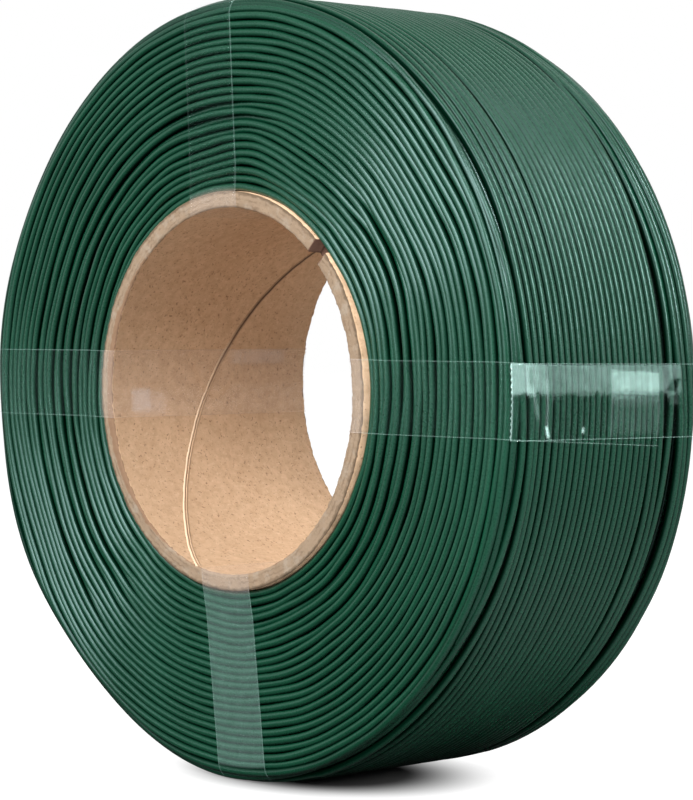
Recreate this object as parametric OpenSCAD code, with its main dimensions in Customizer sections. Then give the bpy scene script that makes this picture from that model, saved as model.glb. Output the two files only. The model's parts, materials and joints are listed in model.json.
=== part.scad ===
// Refill coil of printer filament: one strand wound on a cardboard core tube and
// held by four loops of clear tape. The coil stands on its rim, its axis along Y,
// its front face towards -Y, and the origin is in the middle of the core's bore.

/* [Coil] */
// Diameter of the filament strand
strand_d = 1.75; // [1.5:0.05:2]
// Outer diameter of the wound coil
coil_d = 172; // [150:1:200]
// Width of the wound coil along its axis
coil_w = 58.6; // [45:0.2:80]
// Radius of the rounded edges where the barrel turns into the faces
edge_r = 4.4; // [3:0.1:6]
// Depth that the coil's weight presses flat where it stands
foot_h = 0.5; // [0.4:0.1:0.8]

/* [Rows on the faces] */
// Distance between the main grooves among the strand's rows on each face
groove_pitch = 4.8; // [3.5:0.1:10]
// Width of each main groove
groove_w = 1.9; // [1:0.1:3]
// Depth of each main groove
groove_h = 1.2; // [0.6:0.1:1.6]

/* [Outer layer of turns] */
// Most turns in the outer layer
turns_max = 24; // [6:1:24]
// Least space between neighbouring turns
turn_gap = 0.45; // [0.42:0.01:0.8]
// Space between the end turns and the coil's rounded edges
turn_end_clear = 0.2; // [0.1:0.05:0.5]
// Space between the turns and the layer under them
turn_seat_clear = 0.02; // [0.01:0.01:0.05]
// Bend radius of the strand where it climbs out of the layer below
climb_r = 1.2; // [1:0.1:2]
// Space round the strand in the hole that it climbs out of
climb_clear = 0.15; // [0.1:0.05:0.3]

/* [Core tube] */
// Bore diameter of the cardboard tube
core_bore_d = 80; // [70:0.5:90]
// Wall thickness of the cardboard tube
core_wall = 3.6; // [2:0.1:5]
// How far each end of the cardboard tube stands out of the coil's face
core_proud = 0.45; // [0.1:0.05:1.5]
// Width of the notch in the tube's front end
notch_w = 3.7; // [2:0.1:3.9]
// Depth of the notch along the axis
notch_h = 3.6; // [2:0.1:3.9]
// Angle of the notch round the tube, up from the right-hand side
notch_angle = 45.6; // [20:0.1:70]

/* [Tape] */
// Width of the tape
tape_w = 15.3; // [10:0.1:19]
// Thickness of the tape
tape_t = 0.06; // [0.04:0.01:0.1]
// Length over which the tape slopes from the tube's end down to the coil's face
tape_slope = 6; // [3:0.5:12]
// Where the under layer of a loop's overlap starts on the barrel, from the middle
overlap_start = 14.6; // [5:0.1:20]
// How far short of the front face the top layer of the overlap is cut
overlap_end = 1.4; // [1:0.1:3]
// Angle of the right-hand tape's direction
tape_right_angle = -1; // [-8:0.1:8]
// How far the right-hand tape lies to the side of the axis
tape_right_off = 0.6; // [-6:0.1:6]
// Angle of the top tape's direction
tape_top_angle = 94.1; // [82:0.1:98]
// How far the top tape lies to the side of the axis
tape_top_off = 1.2; // [-6:0.1:6]
// Angle of the left-hand tape's direction
tape_left_angle = 179.3; // [172:0.1:188]
// How far the left-hand tape lies to the side of the axis
tape_left_off = -0.3; // [-6:0.1:6]
// Angle of the bottom tape's direction, which leans the most
tape_bottom_angle = -83.1; // [-98:0.1:-82]
// How far the bottom tape lies to the side of the axis
tape_bottom_off = -5.1; // [-6:0.1:6]

/* [Hidden] */
$fn = 180;
// overshoot of cutting shapes
over = 1;

coil_r = coil_d / 2;
core_ri = core_bore_d / 2;
core_ro = core_ri + core_wall;
core_l = coil_w + 2 * core_proud;
foot_z = -(coil_r - foot_h);

// the main grooves lie midway between the core tube and the rounded edge
face_w = coil_r - edge_r - core_ro;
grooves = floor((face_w - groove_w) / groove_pitch) + 1;
groove_first_r = core_ro + (face_w - (grooves - 1) * groove_pitch) / 2;

// the barrel lies between the rounded edges, and the outer layer fills it
barrel_w = coil_w - 2 * edge_r;
loop_rings = 24;
tube_sides = 6;
strand_r = strand_d / 2;
// across its flats, which face the neighbouring turns, a six-sided strand is narrower
strand_flat_w = strand_d * cos(180 / tube_sides);
turns = min(turns_max, floor((barrel_w - 2 * turn_end_clear - strand_flat_w) / (strand_flat_w + turn_gap)));
pitch = (barrel_w - 2 * turn_end_clear - strand_flat_w) / turns;
// a turn is a ring of straight chords, so its corners reach the coil's radius
half_chord = 180 / loop_rings;
mitre = 1 / cos(half_chord);
corner_r = coil_r - strand_r * mitre;
chord_r = corner_r * cos(half_chord);
floor_r = chord_r - strand_r - turn_seat_clear;
// the strand climbs straight out of a hole for one diameter, then bends along the barrel
climb_foot_r = chord_r - climb_r - strand_d;
climb_y = -barrel_w / 2 + turn_end_clear + strand_flat_w / 2;
climb_steps = 4;

// One ring of the strand's path: across, up, along the axis, heading, stretch at a mitre.
climb_rings = concat(
    [[climb_foot_r, 0, climb_y, 0, 1]],
    [for (i = [0 : climb_steps])
        let (turned = 90 * i / climb_steps)
        [chord_r - climb_r + climb_r * sin(turned), climb_r - climb_r * cos(turned), climb_y, turned, 1]]
);
turn_rings = [for (i = [0 : turns * loop_rings - 1])
    let (at = half_chord + i * 360 / loop_rings)
    [corner_r * cos(at), corner_r * sin(at), climb_y + pitch * at / 360, at + 90, mitre]];
end_ring = [[chord_r, 0, climb_y + pitch * turns, 90, 1]];
strand_rings = concat(climb_rings, turn_rings, end_ring);
ring_count = len(strand_rings);

// Points round one ring: the section's corners face outwards and inwards.
function ring_points(ring) = [for (k = [0 : tube_sides - 1])
    let (a = 360 * k / tube_sides, out = strand_r * ring[4] * cos(a), side = strand_r * sin(a))
    [ring[0] + out * sin(ring[3]), ring[2] + side, ring[1] - out * cos(ring[3])]];
strand_points = [for (ring = strand_rings) each ring_points(ring)];

function side_faces(i) = [for (k = [0 : tube_sides - 1])
    let (a = i * tube_sides + k, b = i * tube_sides + (k + 1) % tube_sides)
    each [[a, b, b + tube_sides], [a, b + tube_sides, a + tube_sides]]];
function cap_faces(first, flip) = [for (k = [1 : tube_sides - 2])
    flip ? [first, first + k, first + k + 1] : [first, first + k + 1, first + k]];
strand_faces = concat(
    [for (i = [0 : ring_count - 2]) each side_faces(i)],
    cap_faces(0, false),
    cap_faces((ring_count - 1) * tube_sides, true)
);

// Least gap from any point of the strand to the points of the turn beside it.
function gap_to(i, j) = min([for (a = [0 : tube_sides - 1], b = [0 : tube_sides - 1])
    norm(strand_points[i * tube_sides + a] - strand_points[j * tube_sides + b])]);
beside = [for (i = [0 : ring_count - 1], step = [-4 : 4])
    if (i + loop_rings + step < ring_count) [i, i + loop_rings + step]];
least_gap = min([for (pair = beside) gap_to(pair[0], pair[1])]);
echo(turns = turns, pitch = pitch, least_gap_between_turns = least_gap);

// Turns a flat half section, drawn as radius and place along the axis, round the Y axis.
module turned() {
    rotate([-90, 0, 0])
        rotate_extrude()
            children();
}

// Half section of the wound coil, grown outwards by g.
module coil_section(g) {
    translate([core_ro, -barrel_w / 2])
        square([coil_r + g - core_ro, barrel_w]);
    translate([core_ro, -coil_w / 2 - g])
        square([coil_r - edge_r - core_ro, coil_w + 2 * g]);
    for (side = [-1, 1])
        translate([coil_r - edge_r, side * (coil_w / 2 - edge_r)])
            circle(r = edge_r + g, $fn = 48);
}

// Half sections of the main grooves on both faces.
module groove_sections() {
    for (side = [-1, 1], i = [0 : grooves - 1])
        translate([groove_first_r + i * groove_pitch, side * coil_w / 2])
            polygon([
                [0, -side * groove_h],
                [groove_w / 2, 0],
                [groove_w / 2, side * over],
                [-groove_w / 2, side * over],
                [-groove_w / 2, 0]
            ]);
}

// Half section of coil and core together, as the tape wraps it, grown by g.
module wrapped_section(g) {
    rim = core_l / 2 + g;
    face = coil_w / 2 + g;
    coil_section(g);
    polygon([
        [core_ri - g, -rim],
        [core_ro, -rim],
        [core_ro + tape_slope, -face],
        [coil_r - edge_r, -face],
        [coil_r - edge_r, face],
        [core_ro + tape_slope, face],
        [core_ro, rim],
        [core_ri - g, rim]
    ]);
}

// Half section of the overlap's extra layer on the barrel.
module overlap_section() {
    intersection() {
        difference() {
            wrapped_section(2 * tape_t);
            wrapped_section(tape_t);
        }
        translate([coil_r - edge_r, -coil_w / 2 + overlap_end])
            square([edge_r + over, overlap_start + coil_w / 2 - overlap_end]);
    }
}

// Straight band of the tape's width, going out from the axis in one direction.
module band(at, off) {
    rotate([0, -at, 0])
        translate([0, -coil_w, off - tape_w / 2])
            cube([coil_d, 2 * coil_w, tape_w]);
}

// Everything above a level.
module above(level) {
    translate([-coil_d, -coil_w, level])
        cube([2 * coil_d, 2 * coil_w, 2 * coil_d]);
}

// One loop of tape, with its ends overlapping on the barrel.
module tape_loop(at, off) {
    intersection() {
        turned() {
            difference() {
                wrapped_section(tape_t);
                wrapped_section(0);
            }
            overlap_section();
        }
        band(at, off);
    }
}

module core_tube() {
    color("tan")
    difference() {
        rotate([90, 0, 0])
            cylinder(r = core_ro, h = core_l, center = true);
        rotate([90, 0, 0])
            cylinder(r = core_ri, h = core_l + 2 * over, center = true);
        rotate([0, -notch_angle, 0])
            translate([core_ri - over, -core_l / 2 - over, -notch_w / 2])
                cube([core_wall + 2 * over, notch_h + over, notch_w]);
    }
}

module filament_inner_layers() {
    color("darkslategray")
    difference() {
        intersection() {
            turned()
                difference() {
                    coil_section(0);
                    translate([floor_r, -barrel_w / 2])
                        square([coil_r, barrel_w]);
                    groove_sections();
                }
            above(foot_z);
        }
        // hole that the strand climbs out of
        translate([climb_foot_r, climb_y, 0])
            rotate([0, 90, 0])
                cylinder(d = strand_d + 2 * climb_clear, h = strand_d + climb_r + over);
        // the tape is pressed in flush where the coil stands on it
        difference() {
            band(tape_bottom_angle, tape_bottom_off);
            above(foot_z + tape_t);
        }
    }
}

module filament_outer_layer() {
    color("seagreen")
    polyhedron(points = strand_points, faces = strand_faces, convexity = 10);
}

module tape_right() {
    color("honeydew")
    tape_loop(tape_right_angle, tape_right_off);
}

module tape_top() {
    color("honeydew")
    tape_loop(tape_top_angle, tape_top_off);
}

module tape_left() {
    color("honeydew")
    tape_loop(tape_left_angle, tape_left_off);
}

module tape_bottom() {
    color("honeydew")
    intersection() {
        difference() {
            intersection() {
                turned()
                    wrapped_section(tape_t);
                above(foot_z);
            }
            intersection() {
                turned()
                    wrapped_section(0);
                above(foot_z + tape_t);
            }
        }
        band(tape_bottom_angle, tape_bottom_off);
    }
}

core_tube();
filament_inner_layers();
filament_outer_layer();
tape_right();
tape_top();
tape_left();
tape_bottom();
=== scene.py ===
"""Looks of a refill coil of printer filament: strand, cardboard core tube and clear tape.

The coil stands on its rim with its axis along Y, its front face towards -Y and the origin in
the middle of the core's bore. Angles run from +X (3 o'clock) towards +Z (12 o'clock). Meshes
are worked out in millimetres and scaled to metres when they are made.
"""

import json
import math
import random

import bpy
import numpy as np
from mathutils import Matrix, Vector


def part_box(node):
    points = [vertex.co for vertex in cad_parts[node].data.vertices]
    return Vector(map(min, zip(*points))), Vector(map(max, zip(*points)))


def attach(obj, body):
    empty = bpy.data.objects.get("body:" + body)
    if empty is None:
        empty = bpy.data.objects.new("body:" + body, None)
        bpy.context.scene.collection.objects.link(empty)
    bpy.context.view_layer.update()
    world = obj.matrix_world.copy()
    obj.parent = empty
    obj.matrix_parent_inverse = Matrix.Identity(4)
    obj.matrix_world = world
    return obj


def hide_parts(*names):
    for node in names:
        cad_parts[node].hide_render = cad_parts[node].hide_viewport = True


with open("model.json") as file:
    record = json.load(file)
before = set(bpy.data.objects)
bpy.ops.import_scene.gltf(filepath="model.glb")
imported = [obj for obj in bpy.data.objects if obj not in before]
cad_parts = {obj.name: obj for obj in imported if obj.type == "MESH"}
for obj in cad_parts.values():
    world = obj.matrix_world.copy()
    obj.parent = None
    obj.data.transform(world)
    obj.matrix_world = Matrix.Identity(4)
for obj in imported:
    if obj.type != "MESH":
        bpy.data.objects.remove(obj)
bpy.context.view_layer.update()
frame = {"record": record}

MM = 0.001
TURN = 2 * math.pi

# ---------------------------------------------------------------- sizes, in mm and degrees
STRAND_D = 1.75
STRAND_R = STRAND_D / 2
EDGE_R = 4.4  # how round the coil's edges are
TAPE_T, TAPE_W = 0.06, 15.3
TAPE_SLOPE = 6.0  # how far the tape slopes from the core's end down to the winding
LAP_ANGLE, LAP_END = 40, 14.6  # where a loop's cut end lies on the edge, and its hidden end
NOTCH_ANGLE, NOTCH_W, NOTCH_H = 45.6, 3.7, 3.6


def node_box(name):
    """Lowest and highest corner of a CAD node, in millimetres."""
    low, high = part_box(name)
    return np.array(low) / MM, np.array(high) / MM


pack_low, pack_high = node_box("filament_inner_layers")
COIL_R, FACE_Y = pack_high[:2]
FOOT_Z = pack_low[2]
CORE_R, CORE_Y = node_box("core_tube")[1][:2]
BORE_R = frame["record"]["mounts"][0]["dims"]["r_mm"]


# ---------------------------------------------------------------- smooth curves and noise
class Waves:
    """Smooth noise: a sum of waves (rate, phase, strength), mostly between -1 and 1."""

    def __init__(self, waves):
        self.waves = waves
        self.scale = 1 / math.sqrt(sum(w[2] ** 2 for w in waves) / 2) / 1.6

    def __call__(self, x):
        return self.scale * sum(a * np.sin(k * x + p) for k, p, a in self.waves)


class Wander(Waves):
    """Smooth noise along a line, from its longest to its shortest waves."""

    def __init__(self, seed, longest, shortest, count=7):
        rng = random.Random(seed)
        waves = []
        for i in range(count):
            length = longest * (shortest / longest) ** (i / (count - 1))
            length *= rng.uniform(0.85, 1.18)
            waves.append((TURN / length, rng.uniform(0, TURN), rng.uniform(0.6, 1.0)))
        super().__init__(waves)


class Ring(Waves):
    """Smooth noise round a circle, in whole waves, so that it closes."""

    def __init__(self, seed, fewest, most, count=7):
        rng = random.Random(seed)
        waves = []
        for i in range(count):
            rate = round(fewest * (most / fewest) ** (i / (count - 1)))
            waves.append((rate, rng.uniform(0, TURN), rng.uniform(0.6, 1.0)))
        super().__init__(waves)


def ease(x):
    """0 below 0, 1 above 1, and a smooth step between."""
    x = np.clip(x, 0, 1)
    return x * x * (3 - 2 * x)


def through(x, knots, values):
    """Smooth curve through knots, flat beyond both ends."""
    x = np.asarray(x, float)
    knots = np.asarray(knots, float)
    values = np.asarray(values, float)
    i = np.clip(np.searchsorted(knots, x, side="right") - 1, 0, len(knots) - 2)
    slope = np.gradient(values, knots)
    slope[0] = slope[-1] = 0
    h = knots[i + 1] - knots[i]
    t = np.clip((x - knots[i]) / h, 0, 1)
    return ((2 * t ** 3 - 3 * t ** 2 + 1) * values[i] + (t ** 3 - 2 * t ** 2 + t) * h * slope[i]
            + (3 * t ** 2 - 2 * t ** 3) * values[i + 1] + (t ** 3 - t ** 2) * h * slope[i + 1])


def hump(angle, middle, width):
    """1 at an angle in degrees and 0 from a width away, round the circle."""
    away = (np.degrees(angle) - middle + 180) % 360 - 180
    return 1 - ease(np.abs(away) / width)


def edge_radius(angle, side):
    """How round the coil's front (-1) or back (+1) edge is, by angle."""
    if side < 0:
        return (EDGE_R - 1.9 * hump(angle, 203, 24) - 1.7 * hump(angle, 168, 26)
                + 2.9 * hump(angle, 238, 30))
    return (EDGE_R - 1.7 * hump(angle, -43, 26) + 0.6 * hump(angle, -10, 20)
            + 3.6 * hump(angle, 72, 36))


# ---------------------------------------------------------------- mesh helpers
SIDES = 8  # of the strand's section


def add_object(name, data):
    """An object in the scene, from its mesh, camera or lamp."""
    obj = bpy.data.objects.new(name, data)
    bpy.context.scene.collection.objects.link(obj)
    return obj


def new_mesh(name, points, faces, smooth=True):
    """A mesh object from points in millimetres."""
    mesh = bpy.data.meshes.new(name)
    mesh.from_pydata((np.asarray(points) * MM).tolist(), [], faces)
    mesh.update()
    if smooth:
        mesh.polygons.foreach_set("use_smooth", [True] * len(mesh.polygons))
    return add_object(name, mesh)


def grid_faces(after, columns):
    """Quads between each closed row of points and the row named as the one after it."""
    here = np.arange(len(after))[:, None] * columns
    after = np.asarray(after)[:, None] * columns
    k = np.arange(columns)[None, :]
    k2 = (k + 1) % columns
    return np.stack([here + k, here + k2, after + k2, after + k], -1).reshape(-1, 4).tolist()


def tube_faces(count, columns):
    """Quads along a tube of so many rows of points, and its two flat ends."""
    first = list(range(columns))
    last = [(count - 1) * columns + k for k in first]
    return grid_faces(np.arange(1, count), columns) + [first[::-1], last]


def set_uv(obj, coords):
    """Writes a UV map from one coordinate pair per vertex."""
    layer = obj.data.uv_layers.new(name="surface")
    index = np.zeros(len(obj.data.loops), np.int32)
    obj.data.loops.foreach_get("vertex_index", index)
    layer.data.foreach_set("uv", np.asarray(coords, np.float32)[index].ravel())


def paint_points(obj, name, *fields):
    """Stores four fields per point as a colour attribute."""
    layer = obj.data.color_attributes.new(name, "FLOAT_COLOR", "POINT")
    layer.data.foreach_set("color", np.stack(fields, -1).astype(np.float32).ravel())


def strand_mesh(name, centre, out, side, rings=0):
    """The strand round a line of centres, with two flat ends, or as so many closed rings.

    Its points are marked with how far out on the strand they lie, 1 on its crown and less down its
    sides, and whether they are on a face (1) or on the barrel (0). The material paints shade from
    these marks down in the grooves, deeper on the barrel, and paints light that differs between
    faces and barrel.
    """
    count = len(centre)
    around = (np.arange(SIDES) + 0.5) * TURN / SIDES
    ring = (np.cos(around)[None, :, None] * out[:, None, :]
            + np.sin(around)[None, :, None] * side[:, None, :])
    points = (centre[:, None, :] + STRAND_R * ring).reshape(-1, 3)
    if rings:
        i, per_ring = np.arange(count), count // rings
        after = np.where(i % per_ring == per_ring - 1, i - per_ring + 1, i + 1)
        faces = grid_faces(after, SIDES)
        along = np.cumsum(np.linalg.norm(np.roll(centre, -1, 0) - centre, axis=1))
    else:
        faces = tube_faces(count, SIDES)
        step = np.linalg.norm(np.diff(centre, axis=0), axis=1)
        along = np.concatenate([[0], np.cumsum(step)])
    obj = new_mesh(name, points, faces)
    set_uv(obj, np.stack([np.repeat(along, SIDES), np.tile(np.arange(SIDES) / SIDES, count)], -1))
    flat = np.repeat(np.abs(out[:, 1]), SIDES)
    down = np.tile(0.5 - 0.5 * np.cos(around), count)
    crown = 1 - (1.15 - 0.25 * flat) * down
    paint_points(obj, "crown", crown, flat, 0 * crown, 0 * crown + 1)
    return obj


def press_foot(obj, level):
    """Presses everything below a level up to it, where the coil stands."""
    count = len(obj.data.vertices)
    co = np.zeros(count * 3)
    obj.data.vertices.foreach_get("co", co)
    co = co.reshape(-1, 3)
    co[:, 2] = np.maximum(co[:, 2], level * MM)
    obj.data.vertices.foreach_set("co", co.ravel())
    obj.data.update()


# ---------------------------------------------------------------- the strand's route
STEPS = 168  # points of a turn


def sweep(name, angle, r, y, n_r, n_y):
    """A strand along a route given by angle, radius, place on the axis and outward normal."""
    cos, sin = np.cos(angle), np.sin(angle)
    centre = np.stack([r * cos, y, r * sin], -1)
    out = np.stack([n_r * cos, n_y, n_r * sin], -1)
    ahead = np.gradient(centre, axis=0)
    ahead /= np.linalg.norm(ahead, axis=1)[:, None]
    side = np.cross(ahead, out)
    side /= np.linalg.norm(side, axis=1)[:, None]
    out = np.cross(side, ahead)
    return strand_mesh(name, centre, out, side)


def on_face(angle, s, recess, side):
    """Centres for lengths s from the core out along a face and on round the coil's edge."""
    edge = edge_radius(angle, side)
    bend = edge - STRAND_R
    flat = COIL_R - edge - CORE_R
    turn = np.clip((s - flat) / bend, 0, math.pi / 2)
    over = np.maximum(0, s - flat - bend * math.pi / 2)
    n_r = np.where(s < flat, 0, np.sin(turn))
    n_y = np.where(s < flat, 1, np.cos(turn))
    r = np.where(s < flat, CORE_R + s, COIL_R - edge + bend * np.sin(turn))
    y = np.where(s < flat, FACE_Y - STRAND_R, FACE_Y - edge + bend * np.cos(turn)) - over
    return r - recess * n_r, side * (y - recess * n_y), n_r, side * n_y


def on_barrel(angle, y, recess):
    """Centres for places y along the barrel, and on round its edges."""
    side = np.sign(y)
    edge = np.where(side < 0, edge_radius(angle, -1), edge_radius(angle, 1))
    bend = edge - STRAND_R
    over = np.maximum(0, np.abs(y) - (FACE_Y - edge))
    turn = np.clip(over / bend, 0, math.pi / 2)
    n_r, n_y = np.cos(turn), side * np.sin(turn)
    r = COIL_R - edge + bend * np.cos(turn)
    place = side * (np.minimum(np.abs(y), FACE_Y - edge) + bend * np.sin(turn))
    return r - recess * n_r, place - recess * n_y, n_r, n_y


def face_rows(seed, layers, dents):
    """Lengths out from the core and recesses of the rows of strand that end at one face.

    Where the rows take turns, every other one ends behind its neighbours. A dent is (angle,
    radius, angle's width, radius' width, shift): it pushes rows outwards.
    """
    rng = random.Random(seed)
    angle = np.arange(STEPS) * TURN / STEPS
    degrees = np.degrees(angle)
    recess = np.zeros((layers, STEPS))
    for j in range(layers):
        left = 1 - ease((np.abs(degrees - 158 + rng.uniform(-9, 9)) - 62 + rng.uniform(-9, 9)) / 26)
        away = np.abs((degrees - 338 + rng.uniform(-9, 9) + 180) % 360 - 180)
        right = 1 - ease((away - 50 + rng.uniform(-9, 9)) / 24)
        deep = rng.uniform(0.75, 1.10) if rng.random() < 0.62 else rng.uniform(0.30, 0.60)
        hides_left = deep if j % 2 else rng.uniform(0.0, 0.22)
        deep = rng.uniform(0.70, 1.05) if rng.random() < 0.5 else rng.uniform(0.20, 0.55)
        hides_right = deep if j % 2 == 0 else rng.uniform(0.0, 0.22)
        loose = Ring(seed + 20 + j, 2, 11, 7)
        swell = np.clip(1 + 0.45 * Ring(seed + 120 + j, 2, 7, 5)(angle), 0.2, 1.5)
        recess[j] = (hides_left * left + hides_right * right) * swell
        recess[j] += 0.11 * (1 + loose(angle))
    apart = np.diff(recess, axis=0)
    gaps = np.sqrt(np.maximum(STRAND_D ** 2 - apart ** 2, 1.35 ** 2))
    first = STRAND_R + 0.05
    last = COIL_R - EDGE_R - CORE_R + 0.95 * (EDGE_R - STRAND_R)
    gaps *= (last - first) / gaps.sum(0)
    s = first + np.concatenate([np.zeros((1, STEPS)), np.cumsum(gaps, 0)])
    common = Ring(seed + 4, 3, 13, 8)
    turned = Ring(seed + 5, 2, 9, 8)
    blend = 0.5 + 0.5 * np.sin((s + 6) * TURN / 46)
    ends = ease(s / 9) * ease((last + 2 - s) / 7)
    s = s + ends * 0.46 * (blend * common(angle) + (1 - blend) * turned(angle))
    for j in range(layers):
        own = Ring(seed + 60 + j, 5, 34, 9)
        s[j] += 0.09 * own(angle)
    for at, radius, wide, tall, shift in dents:
        near = np.exp(-((s + CORE_R - radius) / tall) ** 2)
        s = s + shift * near * hump(angle, at, wide)
    recess = np.clip(recess + 0.2 * np.exp(-(s - STRAND_R) / 2.2), 0, 1.5)
    return np.tile(angle, layers), s.ravel(), recess.ravel()


def face_winding(name, side, seed, layers, dents):
    """The rows of strand that show on one face."""
    angle, s, recess = face_rows(seed, layers, dents)
    r, y, n_r, n_y = on_face(angle, s, recess, side)
    cos, sin = np.cos(angle), np.sin(angle)
    centre = np.stack([r * cos, y, r * sin], -1)
    out = np.stack([n_r * cos, n_y, n_r * sin], -1)
    rows = centre.reshape(layers, STEPS, 3)
    ahead = (np.roll(rows, -1, 1) - np.roll(rows, 1, 1)).reshape(-1, 3)
    ahead /= np.linalg.norm(ahead, axis=1)[:, None]
    across = np.cross(ahead, out)
    across /= np.linalg.norm(across, axis=1)[:, None]
    return strand_mesh(name, centre, np.cross(across, ahead), across, layers)


front = face_winding("filament_front_face", -1, 11, 25, [
    (38, 60, 26, 8, 0.8), (60, 52, 22, 6, -0.6), (62, 70, 24, 6, -0.5), (15, 66, 20, 4, 0.6),
    (205, 78, 20, 5, -0.8), (228, 74, 22, 6, 0.5), (330, 64, 30, 6, 0.5),
])
back = face_winding("filament_back_face", 1, 47, 25, [
    (130, 62, 30, 7, 0.7), (310, 70, 26, 7, -0.6),
])

# Where strands cross the barrel, at nine angles: those near both edges one by one, the rest at even
# steps that drift together. The places follow the bright lines that a measuring program found in
# the photo, matched and partly changed.
BARREL_ANGLES = (-56, -38, -22, -8, 6, 18, 30, 44, 62)
FRONT_STRANDS = [
    (-28.4, -26.8, -25.3, -25.0, -26.1, -26.1, -26.7, -27.0, -27.8),
    (-25.2, -24.1, -22.9, -23.2, -23.8, -23.8, -23.5, -24.4, -24.9),
]
FRONT_STEPS = (-21.9, -20.1, -18.2, -16.2, -14.4)
EVEN_FROM, EVEN_STEP, EVEN_COUNT = -12.6, 1.745, 15
FRONT_DRIFT = (0.9, 0.5, 0.4, 0.0, 0.0, 0.2, 0.25, 0.1, 0.0)
EVEN_DRIFT = (1.15, 0.45, 0.2, -0.1, 0.0, 0.3, 0.65, 0.65, 0.5)
BACK_EXTRA = (0.2, 0.5, 0.55, 0.4, 0.0, 0.0, 0.0, 0.0, 0.0)
BACK_STRANDS = [
    (14.8, 15.4, 15.0, 14.1, 13.6, 13.9, 14.4, 14.4, 13.8),
    (16.5, 17.1, 16.8, 15.9, 15.3, 15.5, 16.1, 16.2, 15.6),
    (18.2, 18.8, 18.5, 18.6, 19.6, 20.0, 19.9, 19.7, 18.9),
    (21.9, 22.6, 23.2, 22.5, 21.2, 21.3, 21.1, 20.9, 20.3),
    (23.4, 24.1, 24.7, 23.9, 22.9, 23.0, 22.6, 22.2, 21.5),
    (25.0, 25.6, 26.1, 25.4, 24.5, 24.6, 24.2, 23.7, 22.8),
    (26.6, 27.2, 27.5, 26.8, 26.0, 26.1, 25.7, 25.2, 24.3),
    (28.2, 28.7, 28.9, 28.3, 27.5, 27.6, 27.2, 26.7, 26.0),
]


def strand_places():
    """Place of each turn on the barrel at each of the nine angles."""
    rows = [np.array(row) for row in FRONT_STRANDS]
    for at in FRONT_STEPS:
        rows.append(at + np.array(FRONT_DRIFT))
    for i in range(EVEN_COUNT):
        part = i / (EVEN_COUNT - 1)
        rows.append(EVEN_FROM + EVEN_STEP * i + np.array(EVEN_DRIFT)
                    + part * np.array(BACK_EXTRA))
    rows += [np.array(row) for row in BACK_STRANDS]
    return np.array(rows)


def barrel_winding():
    """The outer layer on the barrel, in one helix that changes lanes at the back of the coil."""
    rows = strand_places()
    turns = len(rows) - 1
    start, seen = -72.0, 150.0
    count = turns * STEPS + 1
    u = np.arange(count) / STEPS
    k = np.minimum(u.astype(int), turns - 1)
    a = start + (u - k) * 360
    here = np.array([through(a_i, BARREL_ANGLES, rows[k_i]) for a_i, k_i in zip(a, k)])
    there = rows[k + 1][:, 0]
    y = here + (there - here) * ease((a - start - seen) / (360 - seen))
    jitter = Wander(5, 0.9, 0.07, 10)
    y = y + 0.05 * jitter(u)
    lift = Wander(6, 2.2, 0.25, 9)
    recess = 0.045 * (1 + lift(u))
    low = Wander(8, 1.3, 0.3, 6)
    crowd = np.abs(y) > 19.4
    recess = recess + np.where(crowd, 0.26 * (1 + low(u)) * (0.5 + 0.5 * np.cos(math.pi * k)), 0)
    recess = recess + 0.45 * np.exp(-((y - 19.8) / 0.9) ** 2)
    angle = np.radians(start + u * 360)
    return sweep("filament_outer_turns", angle, *on_barrel(angle, y, np.maximum(0, recess)))


barrel = barrel_winding()


def second_layer():
    """The layer under the outer one, which shows in the wide gaps between its turns."""
    turns = 31
    count = turns * STEPS
    u = np.arange(count) / STEPS
    angle = 2.2 - u * TURN
    y = -26.4 + 1.7 * u + 0.25 * Wander(31, 2.3, 0.4, 7)(u)
    recess = 1.55 + 0.12 * Wander(32, 1.7, 0.3, 7)(u) + 1.0 * ease((y - 14.5) / 1.5)
    return sweep("filament_second_layer", angle, *on_barrel(angle, y, recess))


second = second_layer()


def under_body():
    """The layers further in, as one body that closes the gaps between the strands."""
    face, barrel_r, edge = FACE_Y - 2.5, COIL_R - 3.0, 4.0
    segments, steps = 180, 6
    outline = [(CORE_R + 0.01, -face)]
    for sign in (-1, 1):
        arc = [(barrel_r - edge + edge * math.sin(t), sign * (face - edge + edge * math.cos(t)))
               for t in (math.pi / 2 * i / steps for i in range(steps + 1))]
        outline += arc[::-sign]
    outline.append((CORE_R + 0.01, face))
    r, y = np.array(outline).T
    a = np.arange(segments)[:, None] * TURN / segments
    points = np.stack([r * np.cos(a), y + 0 * a, r * np.sin(a)], -1).reshape(-1, 3)
    faces = grid_faces((np.arange(segments) + 1) % segments, len(outline))
    return new_mesh("filament_under_layers", points, [f[:1] + f[:0:-1] for f in faces])


under = under_body()
for piece in (front, back, barrel, second, under):
    press_foot(piece, FOOT_Z + TAPE_T)

# ---------------------------------------------------------------- tape
# The parts of a loop's route, in order. It ends under its own start.
(START_EDGE, BARREL, BACK_EDGE, BACK, BACK_SLOPE, BACK_END, BORE, FRONT_END, FRONT_SLOPE, FRONT,
 UNDER_EDGE, UNDER_BARREL) = range(12)


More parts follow.
